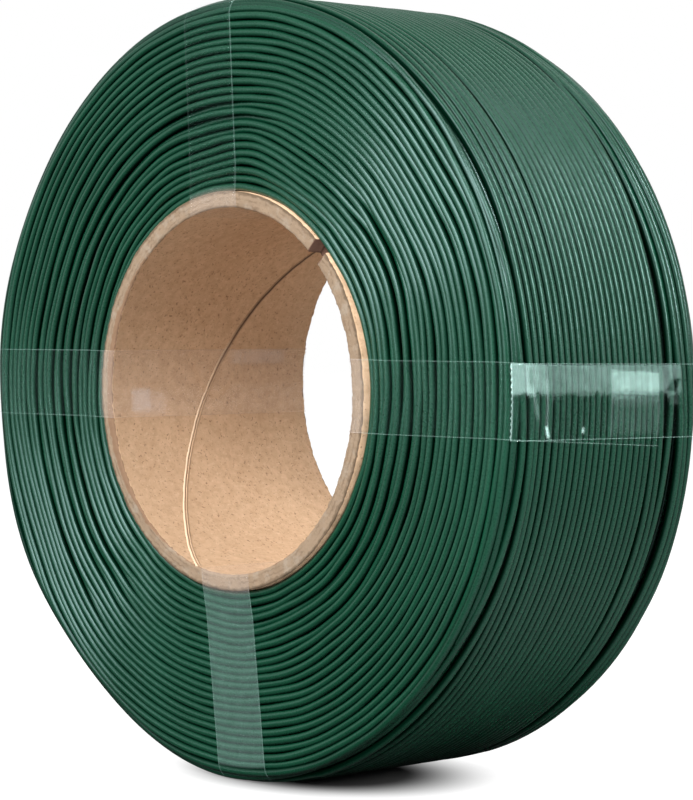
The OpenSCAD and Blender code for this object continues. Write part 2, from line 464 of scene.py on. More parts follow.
def tape_route(angle, step):
    """Section of a loop of tape, as radius and place, from its cut end on the barrel's front
    edge over the barrel, back face, bore and front face, and on under its own start."""
    edge_f, edge_b = edge_radius(angle, -1), edge_radius(angle, 1)
    barrel_f, barrel_b = -(FACE_Y - edge_f), FACE_Y - edge_b

    def arc(edge, side, start, end):
        n = max(3, int(edge * abs(end - start) / min(step, 0.6)))
        return [(COIL_R - edge + edge * math.sin(t), side * (FACE_Y - edge + edge * math.cos(t)))
                for t in (start + (end - start) * i / n for i in range(n + 1))]

    def line(a, b, gap):
        n = max(2, int(math.dist(a, b) / gap))
        return [(a[0] + (b[0] - a[0]) * i / n, a[1] + (b[1] - a[1]) * i / n)
                for i in range(n + 1)]

    quarter = math.pi / 2
    parts = [
        arc(edge_f, -1, math.radians(LAP_ANGLE), quarter),
        line((COIL_R, barrel_f), (COIL_R, barrel_b), step),
        arc(edge_b, 1, quarter, 0),
        line((COIL_R - edge_b, FACE_Y), (CORE_R + TAPE_SLOPE, FACE_Y), 1.2),
        line((CORE_R + TAPE_SLOPE, FACE_Y), (CORE_R, CORE_Y), 1.2),
        line((CORE_R, CORE_Y), (BORE_R, CORE_Y), 1.2),
        line((BORE_R, CORE_Y), (BORE_R, -CORE_Y), 0.9),
        line((BORE_R, -CORE_Y), (CORE_R, -CORE_Y), 1.2),
        line((CORE_R, -CORE_Y), (CORE_R + TAPE_SLOPE, -FACE_Y), 1.2),
        line((CORE_R + TAPE_SLOPE, -FACE_Y), (COIL_R - edge_f, -FACE_Y), 1.2),
        arc(edge_f, -1, 0, quarter),
        line((COIL_R, barrel_f), (COIL_R, LAP_END), step),
    ]
    points, marks = [], []
    for i, part in enumerate(parts):
        part = part if i == 0 else part[1:]
        points += part
        marks += [i] * len(part)
    return np.array(points), np.array(marks)


FILM_T = TAPE_T * 0.9
TEETH = 0.42  # how deep a cut end is toothed


def strip(name, points, angle, across, off, lift, closed):
    """A band of film with its own thickness along a section route, closed and pressed flat at
    the foot, or open with a toothed start.

    Off and lift, given per point, move it sideways and off the coil.
    """
    count = len(points)
    ahead = np.roll(points, -1, 0) - np.roll(points, 1, 0)
    if not closed:
        ahead[0], ahead[-1] = points[1] - points[0], points[-1] - points[-2]
    ahead /= np.linalg.norm(ahead, axis=1)[:, None]
    normal = np.stack([ahead[:, 1], -ahead[:, 0]], -1)
    t = np.linspace(-TAPE_W / 2, TAPE_W / 2, across + 1)
    cut = np.zeros((count, across + 1))
    if not closed:
        cut[0] = TEETH * (np.abs((t / 1.25) % 1 - 0.5) * 2 - 0.5)
    layers = []
    for depth in (lift, lift + FILM_T):
        at = points + normal * np.asarray(depth)[:, None]
        z = off[:, None] + t[None, :]
        x = np.sqrt(np.maximum((at[:, :1] - 0 * z) ** 2 - z ** 2, 0))
        x = x + ahead[:, :1] * cut
        y = at[:, 1:] + ahead[:, 1:] * cut
        cos, sin = math.cos(angle), math.sin(angle)
        layers.append(np.stack([x * cos - z * sin, y + 0 * z, x * sin + z * cos], -1))
    inner, outer = layers
    if closed:
        inner[..., 2] = np.maximum(inner[..., 2], FOOT_Z + FILM_T)
        outer[..., 2] = np.maximum(outer[..., 2], FOOT_Z)
    points3 = np.concatenate([inner.reshape(-1, 3), outer.reshape(-1, 3)])
    row = across + 1
    shift = count * row
    faces = []
    for i in range(count if closed else count - 1):
        n = (i + 1) % count
        for k in range(across):
            a, b, c, d = i * row + k, i * row + k + 1, n * row + k + 1, n * row + k
            faces.append([a, b, c, d])
            faces.append([shift + d, shift + c, shift + b, shift + a])
        a, d = i * row, n * row
        faces.append([a, d, shift + d, shift + a])
        b, c = i * row + across, n * row + across
        faces.append([b, shift + b, shift + c, c])
    if not closed:
        for k in range(across):
            faces.append([k, shift + k, shift + k + 1, k + 1])
            e = (count - 1) * row + k
            faces.append([e, e + 1, shift + e + 1, shift + e])
    obj = new_mesh(name, points3, faces)
    length = np.concatenate([[0], np.cumsum(np.linalg.norm(np.diff(points, axis=0), axis=1))])
    uv = np.stack([np.repeat(length, row), np.tile(t / TAPE_W + 0.5, count)], -1)
    set_uv(obj, np.concatenate([uv, uv]))
    return obj, length, t


# angle, offset, milkiness on the face, and how far the lap under the cut end leans
TAPES = {
    "tape_right": (-1.0, 0.6, 0.002, 1.0),
    "tape_top": (94.1, 1.2, 0.001, -0.6),
    "tape_left": (179.3, -0.3, 0.003, 0.8),
    "tape_bottom": (-83.1, -5.1, 0.034, 0.0),
}


def soft_box(u, v, u0, u1, v0, v1, soft_u=0.5, soft_v=0.5):
    """1 inside a rectangle of the film and 0 outside it, with soft borders."""
    inside_u = ease((u - u0) / soft_u + 0.5) * ease((u1 - u) / soft_u + 0.5)
    inside_v = ease((v - v0) / soft_v + 0.5) * ease((v1 - v) / soft_v + 0.5)
    return inside_u * inside_v


def paint_right_film(u, v, y):
    """Painted reflection and milkiness of the lap on the barrel, where the photo shows light
    patches, a pocket of air, wrinkles and a folded corner. The light patches and the sheen over its
    upper part are painted reflections and highlights, and the pocket of air reflects more."""
    sway = 0.5 * Wander(101, 9, 1.6, 6)(y)
    pocket = soft_box(y, v + 0.04 * y, -0.4, 14.2, 0.2, 6.3, 0.3, 0.3)
    pocket = np.maximum(pocket, 0.5 * soft_box(y, v, -0.4, 14.2, -0.8, 5.0, 0.3, 1.4))
    # painted highlight: a light patch near the front, with a darker hole in it
    painted_glint_patch = soft_box(y, v + sway, -28.3, -19.6, 1.7, 8.5, 0.5, 0.9)
    painted_glint_patch *= 1 - 0.8 * soft_box(y + 0.1 * v, v, -24.4, -23.0, 3.2, 6.6, 1.3, 2.2)
    drip = soft_box(y + 0.25 * v, v, -23.6, -22.6, -3.2, 2.0, 0.9, 1.8)
    crease = soft_box(y, v, -19.9, -19.3, -6.9, 6.0, 0.5, 2.0)
    curl = soft_box(y + 0.35 * v, v, -21.8, -21.1, -7.1, -4.8, 0.5, 0.7)
    curl = np.maximum(curl, 0.7 * soft_box(y, v, -9.2, -8.5, -6.2, -5.2, 0.4, 0.6))
    # painted highlight and painted shade: a light blob near the back, and a darker spot that dims
    # the sheen beside it
    painted_glint_blob = soft_box(y + 0.5 * (v - 0.6), v, 16.9, 20.0, -0.7, 1.9, 1.0, 0.9)
    shade = soft_box(y - 0.6 * (v - 3.0), v, 17.3, 20.3, 1.7, 4.6, 1.0, 0.7)
    # painted reflection: a medium sheen over the upper part of the lap, weaker towards the front
    # and ending at the back
    painted_medium_sheen = ease((v + sway - 0.6) / 1.4) * (1 - ease((y - 20.8) / 0.8)) * (1 - 0.9 * shade)
    painted_medium_sheen *= 0.75 + 0.25 * ease((y + 19) / 12)
    # the pocket of air and the painted highlights reflect strongly
    pocket_and_painted_glints = np.maximum.reduce([pocket, 0.42 * painted_glint_patch, 0.6 * painted_glint_blob])
    lines = np.maximum(soft_box(y, v, -0.6, -0.2, -7.2, 0.6, 0.3, 0.5),
                       soft_box(y, v, 14.0, 14.4, -7.2, 0.6, 0.3, 0.5))
    under = soft_box(y, v, -0.4, 14.2, -6.8, 0.6, 0.3, 2.0)
    # painted highlight: the light patch is milkier on the rounded front edge
    round_front_glint = 1 - ease((y + 25.4) / 4.0)
    right_milk_and_glints = 0.10 * round_front_glint * painted_glint_patch + 0.05 * drip + 0.06 * crease + 0.30 * curl
    right_milk_and_glints = right_milk_and_glints + 0.03 * lines + 0.012 * under + 0.01 * pocket_and_painted_glints
    right_milk_and_glints = right_milk_and_glints + np.where(u < u[1, 0] * 0.9, 0.22, 0.0)
    return 0.005 + 0.72 * painted_medium_sheen + 1.16 * pocket_and_painted_glints, 0.001 + right_milk_and_glints


def make_tape(name, degrees, off, milk, lean):
    """One loop of tape. Its lap is cut at the front edge of the barrel and leans a little, but
    the bottom loop is closed, because its lap is hidden under the coil."""
    angle = math.radians(degrees)
    fine = name == "tape_right"
    points, marks = tape_route(angle, 0.35 if fine else 1.0)
    closed = name == "tape_bottom"
    if closed:
        keep = (marks > START_EDGE) & (marks < UNDER_BARREL)
        points, marks = points[keep], marks[keep]
    count = len(points)
    path = np.concatenate([[0], np.cumsum(np.linalg.norm(np.diff(points, axis=0), axis=1))])
    offs = np.full(count, float(off))
    lifts = np.full(count, 0.003)
    if not closed:
        first, last = marks <= BACK_EDGE, marks >= UNDER_EDGE
        way = (points[:, 1] + FACE_Y) / (2 * FACE_Y)
        offs = np.where(first, off + lean * (0.4 - 0.75 * way), offs)
        back_way = np.clip((path - path[marks == BACK_EDGE][-1]) / 30, 0, 1)
        on_back = (marks >= BACK) & (marks <= BACK_END)
        offs = np.where(on_back, off - lean * 0.35 * (1 - back_way), offs)
        offs = np.where(last, off + lean * (0.62 - 2.55 * np.clip(way * 1.33, 0, 1)), offs)
        face_way = np.clip((path - path[marks == FRONT][0]) / 30, 0, 1)
        offs = np.where(marks == FRONT, off + lean * 0.62 * face_way, offs)
        lifts = np.where(first, 0.061, lifts)
        lifts = np.where(marks == BACK, 0.061 - 0.058 * back_way, lifts)
    across = 44 if fine else 16
    obj, length, t = strip(name + "_film", points, angle, across, offs, lifts, closed)
    u, v = np.meshgrid(length, t, indexing="ij")
    part = np.repeat(marks[:, None], len(t), 1)
    y = np.repeat(points[:, 1:], len(t), 1)
    on_board = (part >= BACK_END) & (part <= FRONT_END)
    top, below = part <= BACK_EDGE, part >= UNDER_EDGE
    gloss = np.select([top, below, on_board], [0.2, 0.02, 0.02], 0.03)
    milk_and_glints = np.select([top, below, on_board], [0.002, 0.001, 0.035], milk)
    # painted highlight: how strongly each long edge shows as a bright line, weaker on the right
    # loop's front face and lap under its cut end, and on one edge of the top loop
    edge = np.ones(u.shape)
    if name == "tape_right":
        painted_sheen, right_milk_and_glints = paint_right_film(u, v, y)
        gloss, milk_and_glints = np.where(top, painted_sheen, gloss), np.where(top, right_milk_and_glints, milk_and_glints)
        edge = np.where(part >= FRONT, 0.7, 1.0)
    elif name == "tape_top":
        edge = np.where(v > 0, 0.3, 1.0)
    elif name == "tape_left":
        # painted highlights: two light patches on the loop's film in the bore
        bright = soft_box(y, v, -23.6, -18.4, 1.2, 6.0, 0.9, 1.0)
        bright = np.maximum(bright, 0.45 * soft_box(y, v, -23.0, -14.0, 2.4, 7.2, 3.0, 2.5))
        pale = soft_box(y, v, 6.0, 22.5, -7.6, -4.4, 4.0, 1.8)
        milk_and_glints = np.where(on_board, milk_and_glints + 0.20 * bright + 0.13 * pale, milk_and_glints)
    # how much each point reflects, with painted reflections, how milky it is, with painted
    # highlights, whether it is on the board, and how much its long edge shows its painted highlight
    paint_points(obj, "film", *(np.tile(np.ravel(field), 2)
                                for field in (gloss, milk_and_glints, on_board, edge)))
    return obj


tapes = {name: make_tape(name, *facts) for name, facts in TAPES.items()}


# ---------------------------------------------------------------- core tube
def core_columns():
    """Angles of the mesh's columns, closer together at the notch."""
    half = math.degrees(NOTCH_W / 2 / BORE_R)
    even = np.arange(0, 360, 0.6)
    away = np.abs(even - NOTCH_ANGLE)
    even = even[away > half + 1.2]
    near = NOTCH_ANGLE + np.array([-half - 0.9, -half - 0.4, -half - 0.12, -half + 0.12,
                                   -half + 0.5, -half * 0.4, 0, half * 0.4, half - 0.5,
                                   half - 0.12, half + 0.12, half + 0.4, half + 0.9])
    return np.radians(np.sort(np.concatenate([even, near])))


SEAM_ANGLE, SEAM_Y, SEAM_LEAN = 129.0, 19.0, -0.38
INNER_ROWS = 46


CORE_ANGLES = core_columns()


def core_body():
    """The cardboard tube: a roughly cut rim in plies, with a notch through it."""
    a = CORE_ANGLES
    torn = [Ring(60 + i, 9 + 4 * i, 190, 14) for i in range(3)]
    ragged = Ring(70, 30, 260, 12)
    plies = [Ring(80 + i, 12, 210, 12) for i in range(9)]
    half = math.degrees(NOTCH_W / 2 / BORE_R)
    off_notch = np.abs(np.degrees(a) - NOTCH_ANGLE)
    slot = 1 - ease((off_notch - half) / 0.3 + 0.5)

    def rim(side, share, k):
        """Place of the rim at a share of the wall's thickness, with its plies out of step."""
        depth = 0.10 + 0.09 * plies[k](a) + 0.05 * torn[0](a)
        if share < 0.06:
            depth = depth + 0.30 + 0.16 * ragged(a)
        elif share > 0.94:
            depth = depth + 0.10 + 0.06 * torn[1](a)
        depth = np.clip(depth, 0, 1.0)
        if side < 0:
            depth = depth + slot * (NOTCH_H + 0.35 * ragged(a) - depth)
        return side * (CORE_Y - depth)

    shares = (0.0, 0.09, 0.22, 0.36, 0.5, 0.64, 0.78, 0.91, 1.0)
    rows = []
    low, high = rim(-1, 0.0, 0), rim(1, 0.0, 0)
    wobble = Ring(90, 3, 60, 12)
    # one row close to each end keeps the edge sharp under smooth shading
    parts = np.linspace(0, 1, INNER_ROWS - 1)[1:-1]
    for part in np.concatenate([[0, 0.003], parts, [0.997, 1]]):
        y = low + (high - low) * part
        r = BORE_R + 0.035 * (1 + wobble(a + 0.35 * math.sin(part * 9)))
        rows.append((r, y))
    for k, share in enumerate(shares[1:-1], 1):
        r = BORE_R + share * (CORE_R - BORE_R) + 0.05 * plies[k](a + 1)
        rows.append((r, rim(1, share, k)))
    low, high = rim(-1, 1.0, 8), rim(1, 1.0, 8)
    outer_rows = 8
    for i in range(outer_rows + 1):
        rows.append((CORE_R - 0.02 + 0 * a, high + (low - high) * (i / outer_rows)))
    for k in range(len(shares) - 2, 0, -1):
        r = BORE_R + shares[k] * (CORE_R - BORE_R) + 0.05 * plies[k](a + 2)
        rows.append((r, rim(-1, shares[k], k)))
    r = np.stack([row[0] for row in rows])
    y = np.stack([row[1] for row in rows])
    points = np.stack([r * np.cos(a), y, r * np.sin(a)], -1)
    faces = grid_faces((np.arange(len(rows)) + 1) % len(rows), len(a))
    return new_mesh("core_tube_board", points.reshape(-1, 3), faces)


core = core_body()


def core_seam():
    """Where two edges of the tube's inner ply meet: a low double ridge in a long helix."""
    count = 420
    y = np.linspace(-CORE_Y + 0.5, CORE_Y - 0.5, count)
    degrees = SEAM_ANGLE + (y - SEAM_Y) / SEAM_LEAN
    a = np.radians(degrees)
    tilt = math.atan(math.radians(1 / SEAM_LEAN) * BORE_R)
    widths = np.array([-0.62, -0.40, -0.22, -0.10, 0.0, 0.12, 0.24, 0.42, 0.62])
    heights = np.array([-0.06, 0.10, 0.20, 0.05, -0.02, 0.06, 0.22, 0.12, -0.06])
    strength = (0.75 + 0.25 * Wander(95, 40, 3, 8)(y)) * (1 - 0.65 * ease((y + 4) / 13))
    shake = 0.05 * Wander(96, 18, 1.5, 9)(y)
    points = []
    for w, h in zip(widths, heights):
        da = (w + shake) * math.cos(tilt) / BORE_R
        dy = -(w + shake) * math.sin(tilt)
        r = BORE_R - h * strength
        points.append(np.stack([r * np.cos(a + da), y + dy, r * np.sin(a + da)], -1))
    for w in (widths[-1], widths[0]):
        da, dy = w * math.cos(tilt) / BORE_R, -w * math.sin(tilt)
        r = BORE_R + 0.25 + 0 * y
        points.append(np.stack([r * np.cos(a + da), y + dy, r * np.sin(a + da)], -1))
    columns = len(points)
    points = np.stack(points, 1).reshape(-1, 3)
    obj = new_mesh("core_tube_seam", points, tube_faces(count, columns))
    across = np.concatenate([widths, [widths[-1], widths[0]]])
    set_uv(obj, np.stack([np.repeat(y, columns), np.tile(across, count)], -1))
    return obj


seam = core_seam()


# ---------------------------------------------------------------- materials
class Graph:
    """Short names for building a material's nodes."""

    def __init__(self, name):
        self.material = bpy.data.materials.new(name)
        self.material.use_nodes = True
        self.nodes = self.material.node_tree.nodes
        self.links = self.material.node_tree.links
        self.shader = self.nodes["Principled BSDF"]
        self.output = self.nodes["Material Output"]

    def add(self, kind, settings=None, **inputs):
        """A new node. Inputs are named, with _ for a space, or numbered, as i0, i1 and so on."""
        node = self.nodes.new("ShaderNode" + kind)
        for key, value in (settings or {}).items():
            setattr(node, key, value)
        for key, value in inputs.items():
            self.put(node, key, value)
        return node

    def put(self, node, key, value):
        key = int(key[1:]) if key[0] == "i" and key[1:].isdigit() else key.replace("_", " ")
        socket = node.inputs[key]
        if isinstance(value, bpy.types.NodeSocket):
            self.links.new(value, socket)
        else:
            socket.default_value = value

    def math(self, operation, a, b=0.0, clamp=False):
        return self.add("Math", {"operation": operation, "use_clamp": clamp}, i0=a, i1=b).outputs[0]

    def vector(self, operation, a, b=(0.0, 0.0, 0.0)):
        node = self.add("VectorMath", {"operation": operation}, i0=a, i1=b)
        return node.outputs["Value" if operation in ("LENGTH", "DOT_PRODUCT") else "Vector"]

    def noise(self, vector, scale, detail=2.0, rough=0.5):
        return self.add("TexNoise", Vector=vector, Scale=scale, Detail=detail,
                        Roughness=rough).outputs["Fac"]

    def remap(self, value, a, b, c=0.0, d=1.0, smooth=False):
        kind = {"interpolation_type": "SMOOTHSTEP"} if smooth else None
        return self.add("MapRange", kind, i0=value, i1=a, i2=b, i3=c, i4=d).outputs[0]

    def mix(self, share, a, b, blend="MIX"):
        node = self.add("Mix", {"data_type": "RGBA", "blend_type": blend})
        for key, value in ((0, share), (6, a), (7, b)):
            if isinstance(value, bpy.types.NodeSocket):
                self.links.new(value, node.inputs[key])
            else:
                node.inputs[key].default_value = value if key == 0 else (*value, 1)
        return node.outputs[2]

    def bump(self, height, distance, strength):
        """Gives the shader a bump and leaves its other inputs."""
        node = self.add("Bump", Height=height, Distance=distance, Strength=strength)
        self.put(self.shader, "Normal", node.outputs[0])

    def base(self, colour=None):
        """The socket that feeds the shader's base colour, after setting it if one is given."""
        if colour is not None:
            self.put(self.shader, "Base Color", colour)
        return self.shader.inputs["Base Color"].links[0].from_socket


def filament_material(name, seed, depth=1.0):
    """Satin dark green plastic: faint drawing lines along it and slight changes of gloss. Painted
    shade makes it darker, with less reflection, down in the grooves between the strands. Painted
    light makes it lighter on the faces and darker on the rounded edges than on the barrel, and
    depth darkens a whole copy as painted shade for the layers further in."""
    g = Graph(name)
    uv = g.add("UVMap", {"uv_map": "surface"}).outputs[0]
    place = g.add("TexCoord").outputs["Object"]
    cloud = g.noise(place, 55.0, 3.0)
    drawn = g.add("Mapping", Vector=uv, Scale=(0.09, 26.0, 1.0), Location=(seed, 0, 0))
    lines = g.noise(drawn.outputs[0], 1.0, 3.0, 0.6)
    grain = g.noise(place, 2600.0, 2.0, 0.6)
    # painted shade: depth scales the base colour down for the darker copy that the layers further
    # in get
    base = g.mix(g.remap(cloud, 0.3, 0.7), (0.0015 * depth, 0.0270 * depth, 0.0122 * depth),
                 (0.0023 * depth, 0.0345 * depth, 0.0162 * depth))
    base = g.mix(g.remap(grain, 0.35, 0.75, 0.0, 0.2), base, (0.006, 0.053, 0.030))
    marks = g.add("Attribute", {"attribute_name": "crown"}).outputs["Color"]
    marks = g.add("SeparateColor", Color=marks)
    crown, flat = marks.outputs[0], marks.outputs[1]
    # painted light: the base is lighter on the faces and darker on the rounded edges than on the
    # barrel
    base = g.mix(1.0, base, g.remap(flat, 0.75, 1.0, 0.76, 1.18, True), "MULTIPLY")
    base = g.mix(1.0, base, g.remap(flat, 0.10, 0.45, 1.30, 1.0, True), "MULTIPLY")
    # painted shade: darker and with less reflection down the strands' sides, in the grooves between
    # them
    base = g.mix(g.remap(crown, 0.60, 0.95, 0.90, 0.0, True), base, (0.0005, 0.008, 0.004))
    g.put(g.shader, "Specular IOR Level", g.remap(crown, 0.58, 0.90, 0.0, 0.5, True))
    g.base(base)
    rough = g.remap(lines, 0.3, 0.7, 0.255, 0.315)
    rough = g.math("ADD", rough, g.remap(grain, 0.3, 0.7, -0.03, 0.04))
    g.put(g.shader, "Roughness", rough)
    height = g.math("ADD", lines, g.math("MULTIPLY", grain, 0.35))
    g.bump(height, 0.00004, 0.35)
    g.put(g.shader, "IOR", 1.45)
    g.put(g.shader, "Specular Tint", (0.70, 1.0, 1.0, 1))
    return g.material


def board_material(name, cut):
    """Kraft board: mottled brown with fibres and flecks, paler and rougher where it is cut."""
    g = Graph(name)
    place = g.add("TexCoord").outputs["Object"]
    broad = g.noise(place, 38.0, 3.0)
    mottle = g.noise(place, 520.0, 4.0, 0.65)
    fleck = g.noise(place, 1500.0, 2.0, 0.5)
    spots = g.noise(g.add("Mapping", Vector=place, Location=(3.1, 7.7, 1.3)).outputs[0],
                    1250.0, 1.5, 0.5)
    fibre_a = g.noise(g.add("Mapping", Vector=place, Rotation=(0.5, 0.2, 0.9),
                            Scale=(1.0, 0.34, 1.0)).outputs[0], 1700.0, 1.0, 0.4)
    fibre_b = g.noise(g.add("Mapping", Vector=place, Rotation=(-0.6, 1.2, -0.7),
                            Scale=(0.36, 1.0, 1.0)).outputs[0], 1500.0, 1.0, 0.4)
    base = g.mix(g.remap(mottle, 0.3, 0.72), (0.535, 0.354, 0.217), (0.695, 0.484, 0.316))
    base = g.mix(g.remap(broad, 0.3, 0.7, 0.0, 0.35), base, (0.50, 0.320, 0.190))
    base = g.mix(g.remap(fibre_a, 0.62, 0.74, 0.0, 0.32), base, (0.72, 0.53, 0.36))
    base = g.mix(g.remap(fibre_b, 0.63, 0.75, 0.0, 0.40), base, (0.33, 0.185, 0.10))
    base = g.mix(g.remap(fleck, 0.63, 0.71, 0.0, 0.75), base, (0.22, 0.120, 0.06))
    base = g.mix(g.remap(spots, 0.65, 0.73, 0.0, 0.40), base, (0.76, 0.58, 0.39))
    if cut:
        base = g.mix(0.55, base, (0.50, 0.390, 0.285))
    g.base(base)
    g.put(g.shader, "Roughness", 0.82)
    g.put(g.shader, "Specular IOR Level", 0.3)
    height = g.math("ADD", mottle, g.math("MULTIPLY", fibre_a, 0.6))
    g.bump(height, 0.00012 if cut else 0.00006, 0.6)
    return g


def rim_material():
    """The tube's cut ends: pale plies with brown glue lines between them."""
    g = board_material("kraft_board_cut", True)
    place = g.add("TexCoord").outputs["Object"]
    radius = g.vector("LENGTH", g.vector("MULTIPLY", place, (1.0, 0.0, 1.0)))
    wander = g.remap(g.noise(place, 120.0, 4.0, 0.6), 0.2, 0.8, -0.0007, 0.0007)
    rough = g.remap(g.noise(place, 1100.0, 2.0), 0.2, 0.8, -0.0003, 0.0003)
    wavy = g.math("ADD", g.math("ADD", radius, wander), rough)
    lines = g.math("SINE", g.math("MULTIPLY", wavy, TURN / 0.0011))
    broken = g.remap(g.noise(place, 240.0, 2.0), 0.4, 0.6, 0.0, 0.6)
    old = g.base()
    base = g.mix(g.math("MULTIPLY", g.remap(lines, 0.2, 0.95), broken), old, (0.30, 0.195, 0.125))
    pale = g.remap(g.noise(place, 330.0, 3.0, 0.6), 0.52, 0.68, 0.0, 0.55)
    base = g.mix(pale, base, (0.66, 0.560, 0.450))
    # the outermost ply is browner
    outer = g.math("ADD", radius, rough)
    outer = g.remap(outer, CORE_R * MM - 0.0008, CORE_R * MM - 0.0003, 0.0, 0.85)
    base = g.mix(outer, base, (0.20, 0.135, 0.080))
    base = g.mix(1.0, base, (0.45, 0.44, 0.425), "MULTIPLY")
    # painted shade: on the left the inner plies are painted the shaded brown of the wall, up to a
    # torn border
    leftward = g.vector("DOT_PRODUCT", place, (-0.996, 0, -0.087))
    border = g.remap(leftward, 0.022, 0.040, BORE_R * MM, BORE_R * MM + 0.0016)
    inside = g.remap(g.math("SUBTRACT", wavy, border), -0.0001, 0.0002, 1.0, 0.0)
    base = g.mix(inside, base, (0.205, 0.122, 0.072))
    # painted shade: the notch is painted dark down in it
    cos, sin = math.cos(math.radians(NOTCH_ANGLE)), math.sin(math.radians(NOTCH_ANGLE))
    across = g.vector("DOT_PRODUCT", place, (-sin, 0, cos))
    along = g.vector("DOT_PRODUCT", place, (cos, 0, sin))
    near = g.remap(g.math("ABSOLUTE", across), NOTCH_W / 2 * MM + 0.00030,
                   NOTCH_W / 2 * MM + 0.00050, 1.0, 0.0)
    near = g.math("MULTIPLY", near, g.math("GREATER_THAN", along, 0.0))
    base = g.mix(g.math("MULTIPLY", near, 0.85), base, (0.10, 0.045, 0.030))
    g.base(base)
    return g.material


def seam_material():
    """The inner ply's two edges: pale raised paper with a dark gap between them."""
    g = board_material("kraft_board_seam", False)
    uv = g.add("UVMap", {"uv_map": "surface"}).outputs[0]
    split = g.add("SeparateXYZ", Vector=uv)
    far = g.math("ABSOLUTE", g.math("ADD", split.outputs[1], -0.02))
    # the gap is wide and dark towards the notch and closes where the seam runs down
    open_share = g.remap(split.outputs[0], -4.0, 9.0, 0.0, 1.0, True)
    old = g.base()
    pale = g.remap(far, 0.16, 0.30, 0.0, 1.0, True)
    pale = g.math("MULTIPLY", pale, g.remap(open_share, 0.0, 1.0, 0.75, 0.10))
    base = g.mix(pale, old, (0.74, 0.575, 0.41))
    gap = g.remap(far, g.remap(open_share, 0.0, 1.0, 0.03, 0.16),
                  g.remap(open_share, 0.0, 1.0, 0.15, 0.36), 1.0, 0.0, True)
    gap = g.math("MULTIPLY", gap, g.remap(open_share, 0.0, 1.0, 0.50, 0.88))
    base = g.mix(gap, base, (0.13, 0.062, 0.034))
    # painted shade: the whole seam is darker where it runs down, to tone down its highlight
    base = g.mix(1.0, base, g.remap(open_share, 0.0, 1.0, 1.0, 0.62), "MULTIPLY")
    g.base(base)
    return g.material


def tape_material():
    """Thin clear film: mostly see-through, with a reflection, a little milk and bright edges. The
    reflection's strength and the milk are painted per point, with painted reflections and
    highlights in patches, and the bright edges are a painted highlight.
    """
    g = Graph("clear_tape")
    uv = g.add("UVMap", {"uv_map": "surface"}).outputs[0]
    v = g.add("SeparateXYZ", Vector=uv).outputs[1]
    # painted highlight along both long edges
    rim = g.remap(g.math("ABSOLUTE", g.math("SUBTRACT", v, 0.5)), 0.487, 0.4965)
    painted = g.add("Attribute", {"attribute_name": "film"})
    parts = g.add("SeparateColor", Color=painted.outputs["Color"])
    stretched = g.add("Mapping", Vector=uv, Scale=(0.22, 4.0, 1.0)).outputs[0]
    streaks = g.noise(stretched, 1.6, 3.0, 0.6)
    mirror = g.math("MULTIPLY", parts.outputs[0], 0.06)
    mirror = g.math("MULTIPLY", mirror, g.remap(streaks, 0.25, 0.75, 0.65, 1.25))
    milk_and_glints = g.math("MULTIPLY", parts.outputs[1], g.remap(streaks, 0.25, 0.75, 0.8, 1.15))
    edge = g.math("MULTIPLY", g.math("MULTIPLY", rim, 0.10), painted.outputs["Alpha"])
    total = g.math("ADD", g.math("ADD", mirror, milk_and_glints), edge, True)
    shine = g.math("DIVIDE", mirror, g.math("MAXIMUM", total, 0.001), True)
    g.put(g.shader, "Base Color", g.mix(parts.outputs[2], (0.66, 1.0, 0.92), (1.0, 0.90, 0.84)))
    g.put(g.shader, "Metallic", shine)
    g.put(g.shader, "Roughness", 0.07)
    wavy = g.noise(g.add("Mapping", Vector=uv, Scale=(0.35, 5.0, 1.0)).outputs[0], 1.0, 2.0)
    g.bump(wavy, 0.0002, 0.3)
    clear = g.add("BsdfTransparent")
    mix = g.add("MixShader", i0=total, i1=clear.outputs[0], i2=g.shader.outputs[0])
    g.links.new(mix.outputs[0], g.output.inputs["Surface"])
    return g.material


green = filament_material("green_filament", 0.0)
# a darker copy of the same plastic, as painted shade, for the layers that show only down in the
# gaps
shaded_green = filament_material("green_filament_painted_shade", 3.7, 0.35)
for piece in (front, back, barrel):
    piece.data.materials.append(green)
# painted shade: the layers further in get the darker copy
for piece in (second, under):
    piece.data.materials.append(shaded_green)
core.data.materials.append(board_material("kraft_board", False).material)
core.data.materials.append(rim_material())
seam.data.materials.append(seam_material())
film = tape_material()
for piece in tapes.values():
    piece.data.materials.append(film)


def assign_rim():
    """Gives the tube's cut ends and the notch the material of cut board."""
    wall_faces = INNER_ROWS * len(CORE_ANGLES)
    for face in core.data.polygons:
        middle = face.center / MM
        on_end = math.hypot(middle.x, middle.z) < CORE_R - 0.05 or abs(middle.y) > FACE_Y - 2
        if face.index >= wall_faces and on_end:
            face.material_index = 1


assign_rim()

# ---------------------------------------------------------------- what stands for what
stand_for = [
    ((front, back, second, under), "green_filament", "filament_inner_layers"),
    ((barrel,), "green_filament", "filament_outer_layer"),
    ((core, seam), "kraft_cardboard", "core_tube"),
]
stand_for += [((piece,), "clear_tape", name) for name, piece in tapes.items()]
for pieces, slot, node in stand_for:
    for piece in pieces:
        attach(piece, "root")
        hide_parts(node)


